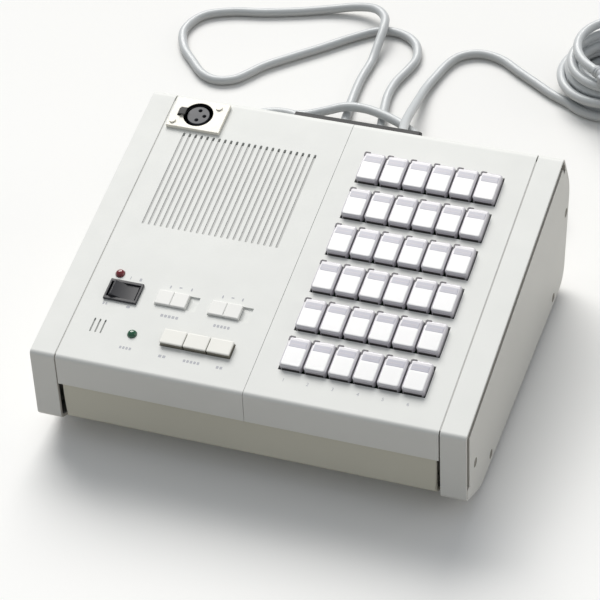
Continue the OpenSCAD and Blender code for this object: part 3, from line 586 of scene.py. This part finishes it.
def stationKey(i, j):
    # grey sides in a darker copy of the cover's colour, painted shade, a pale
    # rounded cover, a white label pad in front, a smoky window behind it, a black
    # strip low in front, painted shade under the front edge, and a dark mark in a
    # rear corner, painted shade of the gap there
    q = stationKeys
    w, d, h = q["width"], q["depth"], q["height"]
    x = q["firstX"] + i * q["pitch"] + w / 2
    s = q["firstS"] + j * q["rowPitch"] + d / 2
    front, rear, left = s - d / 2, s + d / 2, x - w / 2
    labelS = front + q["labelFront"] + q["labelDepth"] / 2
    windowS = labelS + (q["labelDepth"] + q["windowDepth"]) / 2 + q["windowGap"]
    # the sides are darker than the cover: painted shade
    side = pad(x, s, w - 0.1, d - 0.1, q["corner"], [
        (-q["sunk"], 0.3), (-q["sunk"] + 0.3, 0), (q["sideTop"], 0)], keySideShadeAndLine)
    cover = pad(x, s, w, d, q["corner"], [
        (q["sideTop"] - 0.5, 0.3), (q["sideTop"] - 0.3, 0), (h - 0.95, 0.1), (h - 0.62, 0.35),
        (h - 0.38, 0.75), (h - 0.24, 1.3)], keyLens)
    # the black strip is painted shade under the key's front edge
    strip = pad(x, front + 0.45, w - 2 * q["stripInset"], 1.0, 0.3, [
        (-0.6, 0), (q["stripTop"] - 0.1, 0), (q["stripTop"], 0.1)], keyFrontShade)
    label = pad(x, labelS, w - 2 * q["labelInset"], q["labelDepth"], 1.3, [
        (h - 0.75, 0), (h - 0.3, 0.02), (h - 0.08, 0.14), (h, 0.42)], labelWhite)
    window = pad(x, windowS, w - 2 * q["windowInset"], q["windowDepth"], 0.6, [
        (h - 0.6, 0), (h - 0.17, 0), (h - 0.13, 0.08)], keyWindow)
    line = pad(x, windowS, w - 5, q["lineWidth"], 0.2, [(h - 0.6, 0), (h - 0.1, 0)], keySideShadeAndLine)
    # dark marks at the rear left corner: painted shade of the gap round the key
    low = [(h - 0.6, 0), (h - 0.12, 0), (h - 0.1, 0.05)]
    cornerShade = [pad(left + 2.2, rear - 0.5, 3.3, q["cornerShadeWidth"], 0.45, low, keyCornerShade),
             pad(left + 0.53, rear - 2.0, q["cornerShadeWidth"], 3.1, 0.45, low, keyCornerShade)]
    name = f"station_key_{j + 1}_{i + 1}"
    shells = [side, cover, strip, label, window, line, *cornerShade]
    return addPiece(f"stationKey{j + 1}{i + 1}", shells, name, (name,))


for j in range(stationKeys["rows"]):
    for i in range(stationKeys["columns"]):
        stationKey(i, j)
print("station keys made")


talkKeys = {
    "count": 3, "firstX": -60.1, "s": 22.6, "pitch": 14.9,
    "width": 14.5, "depth": 10.5, "height": 3.4, "sunk": 1.5,
}
for i in range(talkKeys["count"]):
    # a dark skirt, painted shade under the cap, and a cream cap with rounded edges
    q = talkKeys
    w, d, h = q["width"], q["depth"], q["height"]
    x, s = q["firstX"] + i * q["pitch"] + w / 2, q["s"] + d / 2
    skirt = pad(x, s, w - 0.2, d - 0.2, 0.5, [
        (-q["sunk"], 0.2), (-q["sunk"] + 0.2, 0), (h - 0.9, 0)], talkSkirtShade)
    cap = pad(x, s, w, d, 0.7, [
        (h - 1.0, 0.2), (h - 0.85, 0), (h - 0.4, 0.02), (h - 0.12, 0.15), (h, 0.5)], talkCream)
    addPiece(f"talkKey{i + 1}", [skirt, cap], f"talk_key_{i + 1}", (f"talk_key_{i + 1}",))
print("talk keys made")

sliders = {
    "at": ((-74.4, 51.0), (-40.1, 50.7)), "width": 20.0, "depth": 10.5,
    "height": 1.8, "sunk": 0.95, "groove": 0.3, "spine": 1.0,
}
for k, (x0, s0) in enumerate(sliders["at"]):
    # two pads with a groove between them, and a spine that closes its floor
    q = sliders
    w, h, s = q["width"], q["height"], s0 + q["depth"] / 2
    halves = [
        pad(x0 + w * (0.25 + 0.5 * side), s, w / 2 - q["groove"] / 2, q["depth"], 0.5, [
            (-q["sunk"], 0.1), (h - 0.5, 0.0), (h - 0.15, 0.12), (h, 0.4)], sliderWhite) for side in (0, 1)]
    spine = pad(x0 + w / 2, s, q["spine"], q["depth"] - 0.4, 0.2, [
        (-q["sunk"] + 0.2, 0), (h - 0.5, 0)], sliderWhite)
    name = f"level_slider_{k + 1}"
    addPiece(f"levelSlider{k + 1}", halves + [spine], name, (name,))
print("sliders made")


socket = {"x": -99.5, "s": 200.25, "bore": 9.6, "insert": 7.2, "flange": 2.4}
screenTop, plateDepth = -3.05, 2.2


def socketFaces(x, s, n, normal):
    # 0 the flange, 1 the ring and the shell, 2 the insert, by the distance
    # from the socket's axis and the height above the panel
    r = np.hypot(x - socket["x"], s - socket["s"])
    flange = (n > socket["flange"] - 0.1) | ((n > 0) & (r > socket["bore"] + 0.2))
    return np.where(flange, 0, np.where(r < socket["insert"] + 0.1, 2, 1))


def screenFaces(x, s, n, normal):
    # 0 the screen, 1 the cone and all that lies under it
    return (n < screenTop).astype(int)


def plateFaces(x, s, n, normal):
    # the plate's narrow edge faces, which don't look outwards, line the channel; their darker grey is painted
    # shade
    return (np.abs(normal[:, 0]) < 0.5).astype(int)


def screwFaces(x, s, n, normal):
    # the two screws of the socket's flange stand above the panel
    return (n > 0).astype(int)


def capFaces(x, s, n, normal):
    # the sunk channel's floor is the face that looks outwards inside the cap; its darker grey is painted shade
    outwards = np.abs(normal[:, 0]) > 0.9
    return (outwards & (np.abs(x) < console["halfWidth"] - plateDepth)).astype(int)


dressed("base_tray", "baseTray", [trayGrey], 0.3)
dressed("end_cap_left", "endCapLeft", [shellWhite, grooveShade], 0.5, capFaces)
dressed("end_cap_right", "endCapRight", [shellWhite, grooveShade], 0.5, capFaces)
dressed("side_plates", "sidePlates", [shellWhite, grooveShade], 0, plateFaces)
dressed("mic_socket", "micSocket", [socketCream, socketBlack, socketGrey], 0.3, socketFaces)
dressed("case_screws", "caseScrews", [screwSteel, screwPale], 0, screwFaces)
dressed("mic_latch", "micLatch", [matteBlack], 0.3)
dressed("rocker_frame", "rockerFrame", [glossBlack], 0.3)
dressed("power_rocker", "powerRocker", [glossBlack], 0.4)
dressed("terminal_cover", "terminalCover", [coverBlack], 0.6)
dressed("speaker", "speakerUnit", [screenGrey, matteBlack], 0, screenFaces)

slots = {
    "x": -59.9, "s": 109.0, "count": 23, "pitch": 4.0, "width": 1.6, "long": 77.0,
    "darkEnd": 2.4, "bottom": -2.45, "top": -0.5,
    "voiceX": (-105.6, -102.2, -98.8), "voiceS": 27.6, "voiceSize": (1.06, 9.2), "voiceTop": -1.0,
}
strips = []
for k in range(slots["count"]):
    # pale felt in each slot of the grille, short of its rear end
    x = slots["x"] + (k - (slots["count"] - 1) / 2) * slots["pitch"]
    long = slots["long"] - slots["darkEnd"] - 0.2
    strips.append(pad(x, slots["s"] + 0.1 + long / 2, slots["width"] - 0.04, long, 0.7, [
        (slots["bottom"], 0), (slots["top"], 0)], slotFelt, 3))
for x in slots["voiceX"]:
    strips.append(pad(x, slots["voiceS"], *slots["voiceSize"], 0.5, [
        (slots["bottom"], 0), (slots["voiceTop"], 0)], slotFelt, 3))
addPiece("grilleFelt", strips, "case")

# a ledge of each end cap shows, in shade, in the seam beside the panel
seam = {"x": 119.65, "s": 106.5, "width": 0.62, "long": 208.0, "bottom": -2.4, "top": -0.35}
ledges = [pad(side * seam["x"], seam["s"], seam["width"], seam["long"], 0.1, [
    (seam["bottom"], 0), (seam["top"], 0)], seamGrey, 3) for side in (-1, 1)]
addPiece("seamLedges", ledges, "case")

# the floor of the channel round each side plate, darker than the shell as
# painted shade: a bar along the top and one down the front, whose y and z
# are counted from the top's front edge
channel = {"x": (131.4, 132.6), "front": 1.2, "inside": 5.9, "rear": 211.0, "down": -41.6, "lean": 4 / 49}


def channelBars(side):
    # the upper bar lies along the slope, y = s cos a - n sin a and
    # z = s sin a + n cos a, and the front one leans: y = inset + lean z
    q = channel
    a = console["slope"]
    upper = [(q["front"], -q["front"]), (q["rear"], -q["front"]),
             (q["rear"], -q["inside"]), (q["front"], -q["inside"])]
    inner, level = q["inside"] + 0.2, -q["inside"] + 0.1
    lower = [(q["front"], level), (inner, level), (inner, q["down"]), (q["front"], q["down"])]
    bars = [[(s * math.cos(a) - n * math.sin(a), s * math.sin(a) + n * math.cos(a)) for s, n in upper],
            [(z * q["lean"] + inset, z) for inset, z in lower]]
    shells = []
    for bar in bars:
        corners = np.array(bar) + (console["frontY"], console["edgeZ"])
        rings = np.array([[(side * x, y, z) for y, z in corners] for x in q["x"]])
        shells.append(closedShell(rings * mm, grooveShade))
    return shells


addPiece("channelFloor", channelBars(-1) + channelBars(1), "case")

lamps = {"at": ((-103.1, 68.5), (-79.4, 26.5)), "radius": 2.95, "rise": 2.3, "sunk": 9.0}
for k, (x, s) in enumerate(lamps["at"]):
    # dome: radius r cos t, height rise sin t
    t = np.linspace(0, np.pi / 2 - 0.06, 9)
    dome = [(lamps["radius"], -lamps["sunk"]), *zip(lamps["radius"] * np.cos(t), lamps["rise"] * np.sin(t))]
    lampShell = turnedShell(x, s, dome, (lampRed, lampGreen)[k])
    addPiece(("redLamp", "greenLamp")[k], [lampShell], "case", ("indicator_lamps",))

finishes = {
    "top_panel_left": shellWhite, "top_panel_right": shellWhite,
    "rubber_feet": footRubber, "circuit_boards": boardGreen,
}
for name, material in finishes.items():
    mesh = nodes[name].data
    mesh.materials.clear()
    mesh.materials.append(material)
print("solids finished")

# short grey bars stand at (x, s, width, depth), and numbers before the keys
labels = {
    "bars": (
        (-68.9, 65.7, 1.6, 2.2), (-62.6, 66.4, 2.6, 0.9), (-55.5, 66.5, 1.6, 2.2), (-35.2, 65.7, 1.6, 2.2),
        (-29.0, 66.3, 2.6, 0.9), (-22.6, 66.2, 1.6, 2.2), (-62.0, 44.0, 12.0, 2.0), (-28.5, 44.0, 11.0, 2.0),
        (-56.0, 15.0, 5.2, 1.9), (-37.4, 15.0, 11.0, 1.9), (-19.7, 15.0, 4.6, 1.9), (-104.2, 45.0, 3.6, 1.9),
        (-89.2, 45.3, 3.0, 1.9), (-95.5, 66.8, 1.2, 2.4), (-88.9, 66.7, 2.2, 2.2), (-79.9, 15.8, 8.2, 1.9)),
    "dash": 1.5,
    "dashGap": 0.7,
    "ink": 0.04,
    "numberX": (20.3, 35.2, 50.6, 66.1, 81.3, 96.5),
    "numberS": 14.4,
    "numberSize": 3.4,
}


def numberShell(digit, x, s):
    # a digit's outline as a thin slab: letter x and y become x and s
    letters = bpy.data.curves.new("digit", "FONT")
    letters.body = str(digit)
    letters.size = labels["numberSize"]
    letters.align_x = "CENTER"
    letters.extrude = labels["ink"]
    letters.resolution_u = 3
    holder = bpy.data.objects.new("digit", letters)
    bpy.context.scene.collection.objects.link(holder)
    bpy.context.view_layer.update()
    mesh = bpy.data.meshes.new_from_object(holder)
    bpy.data.objects.remove(holder)
    flatPoints = np.zeros(3 * len(mesh.vertices))
    mesh.vertices.foreach_get("co", flatPoints)
    flatPoints = flatPoints.reshape(-1, 3)
    mesh.calc_loop_triangles()
    corners = np.zeros(3 * len(mesh.loop_triangles), int)
    mesh.loop_triangles.foreach_get("vertices", corners)
    points = onPanel(x + flatPoints[:, 0], s + flatPoints[:, 1], flatPoints[:, 2])
    return outward(points, [corners.reshape(-1, 3)]) + (inkGrey,)


def dashes(x, s, width, depth):
    # a row of short dashes, each labels["dash"] long at most, over the width
    count = max(1, round(width / (labels["dash"] + labels["dashGap"])))
    step = width / count
    return [pad(x + (k + 0.5) * step - width / 2, s, max(0.5, step - labels["dashGap"]), depth, 0.3,
                [(-0.05, 0), (labels["ink"], 0)], inkGrey, 3) for k in range(count)]


marks = [shell for bar in labels["bars"] for shell in dashes(*bar)]
marks += [numberShell(k + 1, x, labels["numberS"]) for k, x in enumerate(labels["numberX"])]
addPiece("panelMarks", marks, "case", sharp=20)
print("marks made")
